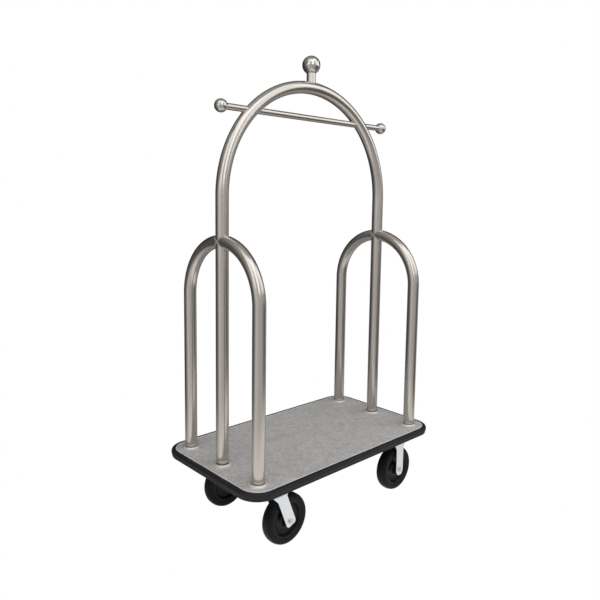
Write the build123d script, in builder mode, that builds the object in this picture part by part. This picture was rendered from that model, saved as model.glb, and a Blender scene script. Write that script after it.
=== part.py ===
from build123d import *

import os
from math import cos, radians, sin

# Hotel luggage cart: a carpeted deck on four casters, carrying a bent-tube frame
# with a hanging bar.  Millimetres, +Z up, origin on the floor under the middle of
# the deck.  -X is the swivel-caster end, +X the rigid-caster end, -Y the front.

# ---- driving dimensions ----------------------------------------------------
# deck
deck_top = 300.0  # carpet surface above the floor
carpet_thick = 5.0
board_thick = 25.0
board_length, board_width, board_corner = 1044.0, 572.0, 72.0
trim_thick, trim_rise = 3.0, 0.8  # edge strip, and how far it stands above the carpet
bumper_out = 18.0  # bumper's projection beyond the strip
bumper_bead, bumper_bead_round = 22.0, 10.5  # height of the main bead, and its rounding
bumper_lip_in, bumper_lip_round = 3.0, 3.0  # the lower lip is set back from the bead

# tube frame
tube_dia, tube_wall = 50.8, 1.5
post_x, post_y = 456.0, 224.0  # post centres
hoop_height = 883.0  # side hoop centreline above the deck
arch_height = 1508.0  # main arch centreline above the deck
arch_joint_height = 915.0  # where the arch is welded to the uprights, just above the hoops
cope_gap = 0.1  # weld gap where one tube meets another

# finial and hanging bar
finial_ball_dia, finial_stem_dia, finial_height = 76.2, 38.1, 1601.0
ball_wall, stem_in_ball = 2.0, 9.0  # the stem's end above the ball's lowest point
bar_dia, bar_wall, bar_height, bar_end = 25.4, 1.5, 1384.0, 443.0
bar_ball_dia, bar_ball_x = 50.8, 459.0

# post feet
flange_dia, flange_collar_dia, flange_rise = 76.0, 60.0, 6.0
flange_edge, flange_chamfer = 1.0, 2.0
insert_height = 30.0
post_bolt_dia, post_bolt_flats, post_bolt_head, post_bolt_reach = 10.0, 17.0, 6.4, 27.0
washer_dia, washer_thick = 20.0, 2.0

# undercarriage
caster_height = 241.3  # floor to the top of the caster plate
channel_width, channel_length, channel_wall, channel_lip = 116.0, 500.0, 3.0, 29.0
rail_width, rail_height, rail_wall, rail_y, rail_clear = 40.0, 26.0, 3.0, 130.0, 1.0
screw_dia, screw_head_dia, screw_head, screw_depth = 5.0, 10.0, 3.4, 18.0
channel_screw_x, channel_screw_y = 24.0, 90.0  # spacings
rail_screw_x = 180.0
hole_fit, board_hole_fit = 0.25, 0.5  # radial clearance of holes in metal and in the board

# casters
wheel_dia, wheel_width = 203.2, 50.0
wheel_y = 196.0  # wheels' centre plane from the middle of the deck
rigid_x, pin_x, trail = 386.0, -350.0, 50.0
plate_length, plate_width, plate_thick, plate_corner = 114.0, 101.6, 5.0, 9.0
plate_bolt_x, plate_bolt_y = 92.1, 66.7  # bolt hole spacings
caster_bolt_dia, caster_bolt_flats, caster_bolt_head, caster_bolt_reach = 10.0, 17.0, 6.4, 12.0
weld_nut_height = 8.0
fork_inside, fork_wall, fork_crown, fork_bend = 66.0, 5.0, 6.0, 10.0
leg_width, leg_rake = 48.0, 22.0
swivel_tip, swivel_tip_width, rigid_tip, rigid_tip_width = 18.0, 34.0, 27.0, 26.0
swivel_leg_up, rigid_leg_up, leg_down = 112.0, 96.0, 8.0  # the full width's ends, from the axle
crown_half, crown_skirt = 35.0, 4.0
fork_corner, swivel_tip_round, rigid_tip_round = 4.0, 6.0, 20.0
axle_dia, axle_flats, axle_head, axle_nut, axle_end = 12.7, 19.0, 8.0, 10.5, 2.5
bushing_dia = 19.0
roller_dia, roller_count, roller_length = 5.0, 10, 50.0
cage_end, cage_end_fit, cage_gap = 1.5, 0.2, 0.5
cage_bar_width, cage_bar_thick = 2.4, 1.2
run_fit, cut_margin = 0.05, 1.0  # radial running clearance; how far a cut passes its part

# swivel head
race_radius, race_ball_dia, race_ball_count = 28.0, 8.0, 20
low_race_radius, low_ball_dia, low_ball_count = 16.0, 6.0, 14
race_gap, groove_slack = 4.0, 0.3
race_ring_inner, race_ring_outer = 20.0, 36.0
kingpin_dia, kingpin_head_dia, kingpin_head, kingpin_chamfer = 16.0, 24.0, 4.0, 1.0
low_race_dia, low_race_thick = 44.0, 5.0
king_nut_flats, king_nut_height, kingpin_end = 24.0, 10.0, 2.0

# wheels; sections are (along the axle from the wheel's middle plane, radius)
hub_half, hub_end_r = 32.0, 20.0
hub_web = [(30.0, 22.0), (14.0, 25.0), (9.0, 30.0), (8.0, 44.0), (11.0, 47.0), (11.0, 52.0)]
hub_dish = [(8.0, 55.0), (8.0, 60.0), (19.0, 66.0), (23.0, 68.0)]
rim_edge, tyre_seat_half, tyre_seat_r = (23.0, 74.0), 20.0, 78.0
tyre_wall_low, tyre_wall_high = 76.0, 90.0
tyre_shoulder, tread_half = (19.5, 98.2), 9.0

# ---- derived places ---------------------------------------------------------
tube_r = tube_dia / 2
board_top = deck_top - carpet_thick
board_bottom = board_top - board_thick
trim_length = board_length + 2 * trim_thick
trim_width = board_width + 2 * trim_thick
trim_corner = board_corner + trim_thick
bumper_length = trim_length + 2 * bumper_out
bumper_width = trim_width + 2 * bumper_out
bumper_corner = trim_corner + bumper_out
hoop_top = deck_top + hoop_height
hoop_spring = hoop_top - post_y
arch_top = deck_top + arch_height
arch_spring = arch_top - post_x
arch_joint = deck_top + arch_joint_height
bar_z = deck_top + bar_height
finial_z = deck_top + finial_height

post_places = [(x, y) for x in (-post_x, post_x) for y in (-post_y, 0.0, post_y)]
caster_places = [(x, y) for x in (pin_x, rigid_x) for y in (-wheel_y, wheel_y)]

plate_bottom = caster_height - plate_thick
crown_top = plate_bottom - 2 * race_gap
crown_bottom = crown_top - fork_crown
race_z = crown_top + race_gap / 2
low_race_z = crown_bottom - race_gap / 2
low_race_top = crown_bottom - race_gap
low_race_bottom = low_race_top - low_race_thick
king_nut_bottom = low_race_bottom - king_nut_height
kingpin_bottom = king_nut_bottom - kingpin_end

wheel_r = wheel_dia / 2
fork_half = fork_inside / 2 + fork_wall
bushing_r = bushing_dia / 2
roller_pitch_r = bushing_r + run_fit + roller_dia / 2
hub_bore_r = roller_pitch_r + roller_dia / 2 + run_fit

os.makedirs("parts", exist_ok=True)

# ---- deck -------------------------------------------------------------------
channel_screws = [
    (x + dx, y)
    for x in (pin_x, rigid_x)
    for dx in (-channel_screw_x / 2, channel_screw_x / 2)
    for y in (-channel_screw_y / 2, channel_screw_y / 2)
]
channel_mouth = channel_width - 2 * (channel_wall + channel_lip)
rail_x_low = pin_x + channel_width / 2 + rail_clear
rail_x_high = rigid_x - channel_width / 2 - rail_clear
rail_mid = (rail_x_low + rail_x_high) / 2
rail_screws = [
    (rail_mid + i * rail_screw_x, y) for i in (-1.5, -0.5, 0.5, 1.5) for y in (-rail_y, rail_y)
]

with BuildPart() as deck_board:
    with BuildSketch(Plane.XY.offset(board_bottom)):
        RectangleRounded(board_length, board_width, board_corner)
        with Locations(post_places):
            Circle(post_bolt_dia / 2 + board_hole_fit, mode=Mode.SUBTRACT)
    extrude(amount=board_thick)
    with BuildSketch(Plane.XY.offset(board_bottom)):
        with Locations(channel_screws + rail_screws):
            Circle(screw_dia / 2)
    extrude(amount=screw_depth, mode=Mode.SUBTRACT)
deck_board.part.label = "deck_board"
export_step(deck_board.part, "parts/deck_board.step")

with BuildPart() as carpet:
    with BuildSketch(Plane.XY.offset(board_top)):
        RectangleRounded(board_length, board_width, board_corner)
        with Locations(post_places):
            Circle(flange_dia / 2 + groove_slack, mode=Mode.SUBTRACT)
    extrude(amount=carpet_thick)
carpet.part.label = "carpet"
export_step(carpet.part, "parts/carpet.step")

with BuildPart() as deck_trim:
    with BuildSketch(Plane.XY.offset(board_bottom)):
        RectangleRounded(trim_length, trim_width, trim_corner)
        RectangleRounded(board_length, board_width, board_corner, mode=Mode.SUBTRACT)
    extrude(amount=deck_top - board_bottom + trim_rise)
deck_trim.part.label = "deck_trim"
export_step(deck_trim.part, "parts/deck_trim.step")

# a rounded bead with a narrower lip under it, in one vinyl extrusion round the deck
with BuildPart() as bumper:
    with BuildSketch(Plane.XY.offset(deck_top - bumper_bead)):
        RectangleRounded(bumper_length, bumper_width, bumper_corner)
    extrude(amount=bumper_bead)
    fillet(bumper.edges().filter_by(Plane.XY), bumper_bead_round)
    with BuildSketch(Plane.XY.offset(board_bottom)):
        RectangleRounded(
            bumper_length - 2 * bumper_lip_in,
            bumper_width - 2 * bumper_lip_in,
            bumper_corner - bumper_lip_in,
        )
    extrude(amount=(deck_top - board_bottom) / 2)
    fillet(bumper.edges().group_by(Axis.Z)[0], bumper_lip_round)
    with BuildSketch(Plane.XY.offset(board_bottom)):
        RectangleRounded(trim_length, trim_width, trim_corner)
    extrude(amount=deck_top - board_bottom, mode=Mode.SUBTRACT)
bumper.part.label = "bumper"
export_step(bumper.part, "parts/bumper.step")

# ---- undercarriage ------------------------------------------------------------
# each channel lies across the deck: its back is screwed up to the board, and the
# lips along its open side take the caster bolts
for end_name, x in (("left", pin_x), ("right", rigid_x)):
    with BuildPart() as channel:
        with BuildSketch(Plane.XZ.offset(-channel_length / 2)):
            with Locations((x, (caster_height + board_bottom) / 2)):
                Rectangle(channel_width, board_bottom - caster_height)
                Rectangle(
                    channel_width - 2 * channel_wall,
                    board_bottom - caster_height - 2 * channel_wall,
                    mode=Mode.SUBTRACT,
                )
            with Locations((x, caster_height + channel_wall / 2)):
                Rectangle(channel_mouth, channel_wall, mode=Mode.SUBTRACT)
        extrude(amount=channel_length)
        with BuildSketch(Plane.XY.offset(caster_height)):
            for y in (-wheel_y, wheel_y):
                with Locations((x, y)):
                    with GridLocations(plate_bolt_x, plate_bolt_y, 2, 2):
                        Circle(caster_bolt_dia / 2 + hole_fit)
        extrude(amount=channel_wall, mode=Mode.SUBTRACT)
        with BuildSketch(Plane.XY.offset(board_bottom - channel_wall)):
            with Locations((x, 0)):
                with GridLocations(channel_screw_x, channel_screw_y, 2, 2):
                    Circle(screw_dia / 2 + hole_fit)
        extrude(amount=channel_wall, mode=Mode.SUBTRACT)
    channel.part.label = f"caster_channel_{end_name}"
    export_step(channel.part, f"parts/caster_channel_{end_name}.step")

for side_name, side in (("front", -1), ("back", 1)):
    with BuildPart() as rail:
        with BuildSketch(Plane.YZ.offset(rail_x_low)):
            with Locations((side * rail_y, board_bottom - rail_height / 2)):
                Rectangle(rail_width, rail_height)
            with Locations((side * rail_y, board_bottom - rail_height / 2 - rail_wall / 2)):
                Rectangle(rail_width - 2 * rail_wall, rail_height - rail_wall, mode=Mode.SUBTRACT)
        extrude(amount=rail_x_high - rail_x_low)
        with BuildSketch(Plane.XY.offset(board_bottom - rail_wall)):
            with Locations((rail_mid, side * rail_y)):
                with GridLocations(rail_screw_x, 1, 4, 1):
                    Circle(screw_dia / 2 + hole_fit)
        extrude(amount=rail_wall, mode=Mode.SUBTRACT)
    rail.part.label = f"stiffener_rail_{side_name}"
    export_step(rail.part, f"parts/stiffener_rail_{side_name}.step")

with BuildPart() as deck_screws:
    for places, wall in ((channel_screws, channel_wall), (rail_screws, rail_wall)):
        seat = board_bottom - wall
        with BuildSketch(Plane.XY.offset(seat - screw_head)):
            with Locations(places):
                Circle(screw_head_dia / 2)
        extrude(amount=screw_head)
        with BuildSketch(Plane.XY.offset(seat)):
            with Locations(places):
                Circle(screw_dia / 2)
        extrude(amount=wall + screw_depth)
deck_screws.part.label = "deck_screws"
export_step(deck_screws.part, "parts/deck_screws.step")

# ---- tube frame -----------------------------------------------------------------
for end_name, x in (("left", -post_x), ("right", post_x)):
    with BuildPart() as upright:
        with BuildSketch(Plane.XY.offset(board_top)):
            with Locations((x, 0)):
                Circle(tube_r)
                Circle(tube_r - tube_wall, mode=Mode.SUBTRACT)
        extrude(amount=arch_joint - board_top)
    upright.part.label = f"upright_{end_name}"
    export_step(upright.part, f"parts/upright_{end_name}.step")

with BuildPart() as main_arch:
    with BuildLine(Plane.XZ):
        Line((-post_x, arch_joint), (-post_x, arch_spring))
        ThreePointArc((-post_x, arch_spring), (0, arch_top), (post_x, arch_spring))
        Line((post_x, arch_spring), (post_x, arch_joint))
    with BuildSketch(Plane.XY.offset(arch_joint)):
        with Locations((-post_x, 0)):
            Circle(tube_r)
            Circle(tube_r - tube_wall, mode=Mode.SUBTRACT)
    sweep()
    with BuildSketch(Plane.YZ.offset(-post_x)):
        with Locations((0, bar_z)):
            Circle(bar_dia / 2 + cope_gap)
    extrude(amount=2 * post_x, mode=Mode.SUBTRACT)
main_arch.part.label = "main_arch"
export_step(main_arch.part, "parts/main_arch.step")

# the side hoops: each is two quarter bends coped to the upright between them
half_turn = cos(radians(45))
for end_name, x in (("left", -post_x), ("right", post_x)):
    for side_name, side in (("front", -1), ("back", 1)):
        with BuildPart() as hoop:
            with BuildLine(Plane.YZ.offset(x)):
                foot = side * post_y
                Line((foot, board_top), (foot, hoop_spring))
                shoulder = (foot * half_turn, hoop_spring + post_y * half_turn)
                ThreePointArc((foot, hoop_spring), shoulder, (0, hoop_top))
            with BuildSketch(Plane.XY.offset(board_top)):
                with Locations((x, side * post_y)):
                    Circle(tube_r)
                    Circle(tube_r - tube_wall, mode=Mode.SUBTRACT)
            sweep()
            with BuildSketch(Plane.XY.offset(hoop_spring)):
                with Locations((x, 0)):
                    Circle(tube_r + cope_gap)
            extrude(amount=2 * post_y, mode=Mode.SUBTRACT)
        hoop.part.label = f"hoop_tube_{side_name}_{end_name}"
        export_step(hoop.part, f"parts/hoop_tube_{side_name}_{end_name}.step")

with BuildPart() as finial_stem:
    with BuildSketch(Plane.XY.offset(arch_top)):
        Circle(finial_stem_dia / 2)
        Circle(finial_stem_dia / 2 - tube_wall, mode=Mode.SUBTRACT)
    extrude(amount=finial_z - finial_ball_dia / 2 + stem_in_ball - arch_top)
    with Locations((0, 0, arch_spring)):
        Torus(post_x, tube_r + cope_gap, rotation=(90, 0, 0), mode=Mode.SUBTRACT)
finial_stem.part.label = "finial_stem"
export_step(finial_stem.part, "parts/finial_stem.step")

ball_r, ball_hole_r = finial_ball_dia / 2, finial_stem_dia / 2 + cope_gap
ball_in_r = ball_r - ball_wall
with BuildPart() as finial_ball:
    with BuildSketch(Plane.XZ):
        with BuildLine():
            hole_out = (ball_hole_r, finial_z - (ball_r**2 - ball_hole_r**2) ** 0.5)
            hole_in = (ball_hole_r, finial_z - (ball_in_r**2 - ball_hole_r**2) ** 0.5)
            Line(hole_in, hole_out)
            ThreePointArc(hole_out, (ball_r, finial_z), (0, finial_z + ball_r))
            Line((0, finial_z + ball_r), (0, finial_z + ball_in_r))
            ThreePointArc((0, finial_z + ball_in_r), (ball_in_r, finial_z), hole_in)
        make_face()
    revolve(axis=Axis.Z)
finial_ball.part.label = "finial_ball"
export_step(finial_ball.part, "parts/finial_ball.step")

with BuildPart() as hanger_bar:
    with BuildSketch(Plane.YZ.offset(-bar_end)):
        with Locations((0, bar_z)):
            Circle(bar_dia / 2)
            Circle(bar_dia / 2 - bar_wall, mode=Mode.SUBTRACT)
    extrude(amount=2 * bar_end)
hanger_bar.part.label = "hanger_bar"
export_step(hanger_bar.part, "parts/hanger_bar.step")

for end_name, end in (("left", -1), ("right", 1)):
    with BuildPart() as bar_ball:
        with Locations((end * bar_ball_x, 0, bar_z)):
            Sphere(bar_ball_dia / 2)
        with BuildSketch(Plane.YZ.offset(end * bar_end)):
            with Locations((0, bar_z)):
                Circle(bar_dia / 2 + cope_gap)
        extrude(amount=-end * bar_ball_dia, mode=Mode.SUBTRACT)
    bar_ball.part.label = f"hanger_ball_{end_name}"
    export_step(bar_ball.part, f"parts/hanger_ball_{end_name}.step")

# ---- post feet --------------------------------------------------------------------
flange_r, collar_r = flange_dia / 2, flange_collar_dia / 2
with BuildPart() as post_flanges:
    for x, y in post_places:
        with BuildSketch(Plane.XZ.offset(-y)):
            with BuildLine():
                Polyline(
                    (x + tube_r + cope_gap, board_top),
                    (x + flange_r, board_top),
                    (x + flange_r, deck_top + flange_edge),
                    (x + collar_r, deck_top + flange_rise - flange_chamfer),
                    (x + collar_r - flange_chamfer, deck_top + flange_rise),
                    (x + tube_r + cope_gap, deck_top + flange_rise),
                    close=True,
                )
            make_face()
        revolve(axis=Axis((x, y, 0), (0, 0, 1)))
post_flanges.part.label = "post_flanges"
export_step(post_flanges.part, "parts/post_flanges.step")

with BuildPart() as post_inserts:
    with BuildSketch(Plane.XY.offset(board_top)):
        with Locations(post_places):
            Circle(tube_r - tube_wall - run_fit)
            Circle(post_bolt_dia / 2 + run_fit, mode=Mode.SUBTRACT)
    extrude(amount=insert_height)
post_inserts.part.label = "post_inserts"
export_step(post_inserts.part, "parts/post_inserts.step")

with BuildPart() as post_washers:
    with BuildSketch(Plane.XY.offset(board_bottom - washer_thick)):
        with Locations(post_places):
            Circle(washer_dia / 2)
            Circle(post_bolt_dia / 2 + hole_fit, mode=Mode.SUBTRACT)
    extrude(amount=washer_thick)
post_washers.part.label = "post_washers"
export_step(post_washers.part, "parts/post_washers.step")

with BuildPart() as post_bolts:
    seat = board_bottom - washer_thick
    with BuildSketch(Plane.XY.offset(seat - post_bolt_head)):
        with Locations(post_places):
            RegularPolygon(post_bolt_flats / 2, 6, major_radius=False)
    extrude(amount=post_bolt_head)
    with BuildSketch(Plane.XY.offset(seat)):
        with Locations(post_places):
            Circle(post_bolt_dia / 2)
    extrude(amount=board_top + post_bolt_reach - seat)
post_bolts.part.label = "post_bolts"
export_step(post_bolts.part, "parts/post_bolts.step")

# ---- caster fasteners ---------------------------------------------------------------
with BuildPart() as caster_bolts:
    for x, y in caster_places:
        with BuildSketch(Plane.XY.offset(plate_bottom - caster_bolt_head)):
            with Locations((x, y)):
                with GridLocations(plate_bolt_x, plate_bolt_y, 2, 2):
                    RegularPolygon(caster_bolt_flats / 2, 6, major_radius=False)
        extrude(amount=caster_bolt_head)
        with BuildSketch(Plane.XY.offset(plate_bottom)):
            with Locations((x, y)):
                with GridLocations(plate_bolt_x, plate_bolt_y, 2, 2):
                    Circle(caster_bolt_dia / 2)
        extrude(amount=plate_thick + caster_bolt_reach)
caster_bolts.part.label = "caster_bolts"
export_step(caster_bolts.part, "parts/caster_bolts.step")

with BuildPart() as weld_nuts:
    for x, y in caster_places:
        with BuildSketch(Plane.XY.offset(caster_height + channel_wall)):
            with Locations((x, y)):
                with GridLocations(plate_bolt_x, plate_bolt_y, 2, 2):
                    RegularPolygon(caster_bolt_flats / 2, 6, major_radius=False, rotation=30)
                    Circle(caster_bolt_dia / 2 + run_fit, mode=Mode.SUBTRACT)
        extrude(amount=weld_nut_height)
weld_nuts.part.label = "caster_weld_nuts"
export_step(weld_nuts.part, "parts/caster_weld_nuts.step")

# ---- swivel heads ---------------------------------------------------------------------
# the plate carries a ring with the upper ball groove; the kingpin is riveted into it,
# holds the fork's crown on two rows of balls, and takes a nut under the lower race
swivel_places = [("front_left", pin_x, -wheel_y), ("back_left", pin_x, wheel_y)]
pin_places = [(x, y) for _, x, y in swivel_places]

for corner, x, y in swivel_places:
    with BuildPart() as top_plate:
        with BuildSketch(Plane.XY.offset(plate_bottom)):
            with Locations((x, y)):
                RectangleRounded(plate_length, plate_width, plate_corner)
                with GridLocations(plate_bolt_x, plate_bolt_y, 2, 2):
                    Circle(caster_bolt_dia / 2 + hole_fit, mode=Mode.SUBTRACT)
                Circle(kingpin_dia / 2, mode=Mode.SUBTRACT)
        extrude(amount=plate_thick)
        with BuildSketch(Plane.XY.offset(crown_top + race_gap)):
            with Locations((x, y)):
                Circle(race_ring_outer)
                Circle(race_ring_inner, mode=Mode.SUBTRACT)
        extrude(amount=race_gap)
        with Locations((x, y, race_z)):
            Torus(race_radius, race_ball_dia / 2 + groove_slack, mode=Mode.SUBTRACT)
        with Locations((x, y, caster_height - kingpin_head / 2)):
            Cone(kingpin_dia / 2, kingpin_head_dia / 2, kingpin_head, mode=Mode.SUBTRACT)
    top_plate.part.label = f"{corner}_top_plate"
    export_step(top_plate.part, f"parts/{corner}_top_plate.step")

    with BuildPart() as race_balls:
        with Locations((x, y, race_z)):
            with PolarLocations(race_radius, race_ball_count):
                Sphere(race_ball_dia / 2)
        with Locations((x, y, low_race_z)):
            with PolarLocations(low_race_radius, low_ball_count):
                Sphere(low_ball_dia / 2)
    race_balls.part.label = f"{corner}_race_balls"
    export_step(race_balls.part, f"parts/{corner}_race_balls.step")

with BuildPart() as kingpins:
    for x, y in pin_places:
        with BuildSketch(Plane.XZ.offset(-y)):
            with BuildLine():
                Polyline(
                    (x, kingpin_bottom),
                    (x + kingpin_dia / 2 - kingpin_chamfer, kingpin_bottom),
                    (x + kingpin_dia / 2, kingpin_bottom + kingpin_chamfer),
                    (x + kingpin_dia / 2, caster_height - kingpin_head),
                    (x + kingpin_head_dia / 2, caster_height),
                    (x, caster_height),
                    close=True,
                )
            make_face()
        revolve(axis=Axis((x, y, 0), (0, 0, 1)))
kingpins.part.label = "kingpins"
export_step(kingpins.part, "parts/kingpins.step")

with BuildPart() as lower_races:
    with BuildSketch(Plane.XY.offset(low_race_bottom)):
        with Locations(pin_places):
            Circle(low_race_dia / 2)
            Circle(kingpin_dia / 2 + run_fit, mode=Mode.SUBTRACT)
    extrude(amount=low_race_thick)
    with Locations([(x, y, low_race_z) for x, y in pin_places]):
        Torus(low_race_radius, low_ball_dia / 2 + groove_slack, mode=Mode.SUBTRACT)
lower_races.part.label = "lower_races"
export_step(lower_races.part, "parts/lower_races.step")

with BuildPart() as king_nuts:
    with BuildSketch(Plane.XY.offset(king_nut_bottom)):
        with Locations(pin_places):
            RegularPolygon(king_nut_flats / 2, 6, major_radius=False)
            Circle(kingpin_dia / 2 + run_fit, mode=Mode.SUBTRACT)
    extrude(amount=king_nut_height)
king_nuts.part.label = "king_nuts"
export_step(king_nuts.part, "parts/king_nuts.step")

# ---- forks ------------------------------------------------------------------------------
# a fork is sheet steel bent into an upturned U and cut to its side outline
rake = radians(leg_rake)


def along_leg(axle_x, lean, side, up):
    """A point beside the leg's centre line, `up` from the axle towards the crown."""
    return (
        axle_x + side * cos(lean) - up * sin(lean),
        wheel_r + side * sin(lean) + up * cos(lean),
    )


for corner, x, y in swivel_places:
    with BuildPart() as fork:
        with BuildSketch(Plane.YZ.offset(x - crown_half)):
            with BuildLine():
                outer = FilletPolyline(
                    (y - fork_half, 0),
                    (y - fork_half, crown_top),
                    (y + fork_half, crown_top),
                    (y + fork_half, 0),
                    radius=fork_bend,
                )
                inner = FilletPolyline(
                    (y - fork_half + fork_wall, 0),
                    (y - fork_half + fork_wall, crown_bottom),
                    (y + fork_half - fork_wall, crown_bottom),
                    (y + fork_half - fork_wall, 0),
                    radius=fork_bend / 2,
                )
                Line(outer @ 0, inner @ 0)
                Line(outer @ 1, inner @ 1)
            make_face()
        extrude(amount=crown_half + trail + leg_width)
        with BuildSketch(Plane.XZ.offset(-y)) as outline:
            with BuildLine():
                axle_x = x + trail
                Polyline(
                    (x - crown_half, crown_top),
                    (x + crown_half, crown_top),
                    along_leg(axle_x, rake, leg_width / 2, swivel_leg_up),
                    along_leg(axle_x, rake, leg_width / 2, -leg_down),
                    along_leg(axle_x, rake, swivel_tip_width / 2, -swivel_tip),
                    along_leg(axle_x, rake, -swivel_tip_width / 2, -swivel_tip),
                    along_leg(axle_x, rake, -leg_width / 2, -leg_down),
                    along_leg(axle_x, rake, -leg_width / 2, swivel_leg_up),
                    (x - crown_half, crown_bottom - crown_skirt),
                    close=True,
                )
            make_face()
            fillet(outline.vertices().sort_by(Axis.Y)[2:], fork_corner)
            fillet(outline.vertices().sort_by(Axis.Y)[:2], swivel_tip_round)
        extrude(amount=fork_half + cut_margin, both=True, mode=Mode.INTERSECT)
        with BuildSketch(Plane.XZ.offset(-y)):
            with Locations((x + trail, wheel_r)):
                Circle(axle_dia / 2 + run_fit)
        extrude(amount=fork_half + cut_margin, both=True, mode=Mode.SUBTRACT)
        with BuildSketch(Plane.XY.offset(crown_bottom)):
            with Locations((x, y)):
                Circle(kingpin_dia / 2 + run_fit)
        extrude(amount=fork_crown, mode=Mode.SUBTRACT)
        with Locations((x, y, race_z)):
            Torus(race_radius, race_ball_dia / 2 + groove_slack, mode=Mode.SUBTRACT)
        with Locations((x, y, low_race_z)):
            Torus(low_race_radius, low_ball_dia / 2 + groove_slack, mode=Mode.SUBTRACT)
    fork.part.label = f"{corner}_fork"
    export_step(fork.part, f"parts/{corner}_fork.step")

rigid_places = [("front_right", rigid_x, -wheel_y), ("back_right", rigid_x, wheel_y)]
for corner, x, y in rigid_places:
    with BuildPart() as rigid_fork:
        with BuildSketch(Plane.YZ.offset(x - crown_half)):
            with BuildLine():
                outer = FilletPolyline(
                    (y - fork_half, 0),
                    (y - fork_half, plate_bottom),
                    (y + fork_half, plate_bottom),
                    (y + fork_half, 0),
                    radius=fork_bend / 2,
                )
                inner = FilletPolyline(
                    (y - fork_half + fork_wall, 0),
                    (y - fork_half + fork_wall, plate_bottom - fork_crown),
                    (y + fork_half - fork_wall, plate_bottom - fork_crown),
                    (y + fork_half - fork_wall, 0),
                    radius=fork_bend / 2,
                )
                Line(outer @ 0, inner @ 0)
                Line(outer @ 1, inner @ 1)
            make_face()
        extrude(amount=2 * crown_half)
        with BuildSketch(Plane.XZ.offset(-y)) as outline:
            with BuildLine():
                Polyline(
                    (x - crown_half, plate_bottom),
                    (x + crown_half, plate_bottom),
                    (x + crown_half, plate_bottom - 2 * fork_crown),
                    along_leg(x, 0, leg_width / 2, rigid_leg_up),
                    along_leg(x, 0, leg_width / 2, -leg_down),
                    along_leg(x, 0, rigid_tip_width / 2, -rigid_tip),
                    along_leg(x, 0, -rigid_tip_width / 2, -rigid_tip),
                    along_leg(x, 0, -leg_width / 2, -leg_down),
                    along_leg(x, 0, -leg_width / 2, rigid_leg_up),
                    (x - crown_half, plate_bottom - 2 * fork_crown),
                    close=True,
                )
            make_face()
            fillet(outline.vertices().sort_by(Axis.Y)[4:6], fork_corner)
            fillet(outline.vertices().sort_by(Axis.Y)[:4], rigid_tip_round)
        extrude(amount=fork_half + cut_margin, both=True, mode=Mode.INTERSECT)
        with BuildSketch(Plane.XY.offset(plate_bottom)):
            with Locations((x, y)):
                RectangleRounded(plate_length, plate_width, plate_corner)
                with GridLocations(plate_bolt_x, plate_bolt_y, 2, 2):
                    Circle(caster_bolt_dia / 2 + hole_fit, mode=Mode.SUBTRACT)
        extrude(amount=plate_thick)
        with BuildSketch(Plane.XZ.offset(-y)):
            with Locations((x, wheel_r)):
                Circle(axle_dia / 2 + run_fit)
        extrude(amount=fork_half + cut_margin, both=True, mode=Mode.SUBTRACT)
    rigid_fork.part.label = f"{corner}_fork"
    export_step(rigid_fork.part, f"parts/{corner}_fork.step")

# ---- axles ------------------------------------------------------------------------------
# bolt heads face outwards, lock nuts inwards; the bushing is clamped between the legs
axle_sets = [
    ("front_left_", "", [(pin_x + trail, -wheel_y, -1)]),
    ("back_left_", "", [(pin_x + trail, wheel_y, 1)]),
    ("rigid_", "s", [(rigid_x, -wheel_y, -1), (rigid_x, wheel_y, 1)]),
]
for prefix, plural, places in axle_sets:
    with BuildPart() as axle_bolt:
        for x, y, out in places:
            with BuildSketch(Plane.XZ.offset(-(y + out * fork_half))):
                with Locations((x, wheel_r)):
                    RegularPolygon(axle_flats / 2, 6, major_radius=False)
            extrude(amount=-out * axle_head)
            with BuildSketch(Plane.XZ.offset(-(y + out * fork_half))):
                with Locations((x, wheel_r)):
                    Circle(axle_dia / 2)
            extrude(amount=out * (2 * fork_half + axle_nut + axle_end))
    axle_bolt.part.label = f"{prefix}axle_bolt{plural}"
    export_step(axle_bolt.part, f"parts/{prefix}axle_bolt{plural}.step")

    with BuildPart() as lock_nut:
        for x, y, out in places:
            with BuildSketch(Plane.XZ.offset(-(y - out * fork_half))):
                with Locations((x, wheel_r)):
                    RegularPolygon(axle_flats / 2, 6, major_radius=False)
                    Circle(axle_dia / 2 + run_fit, mode=Mode.SUBTRACT)
            extrude(amount=out * axle_nut)
    lock_nut.part.label = f"{prefix}axle_nut{plural}"
    export_step(lock_nut.part, f"parts/{prefix}axle_nut{plural}.step")

    with BuildPart() as bushing:
        for x, y, _ in places:
            with BuildSketch(Plane.XZ.offset(-y)):
                with Locations((x, wheel_r)):
                    Circle(bushing_r)
                    Circle(axle_dia / 2 + run_fit, mode=Mode.SUBTRACT)
            extrude(amount=fork_inside / 2, both=True)
    bushing.part.label = f"{prefix}axle_bushing{plural}"
    export_step(bushing.part, f"parts/{prefix}axle_bushing{plural}.step")

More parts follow.
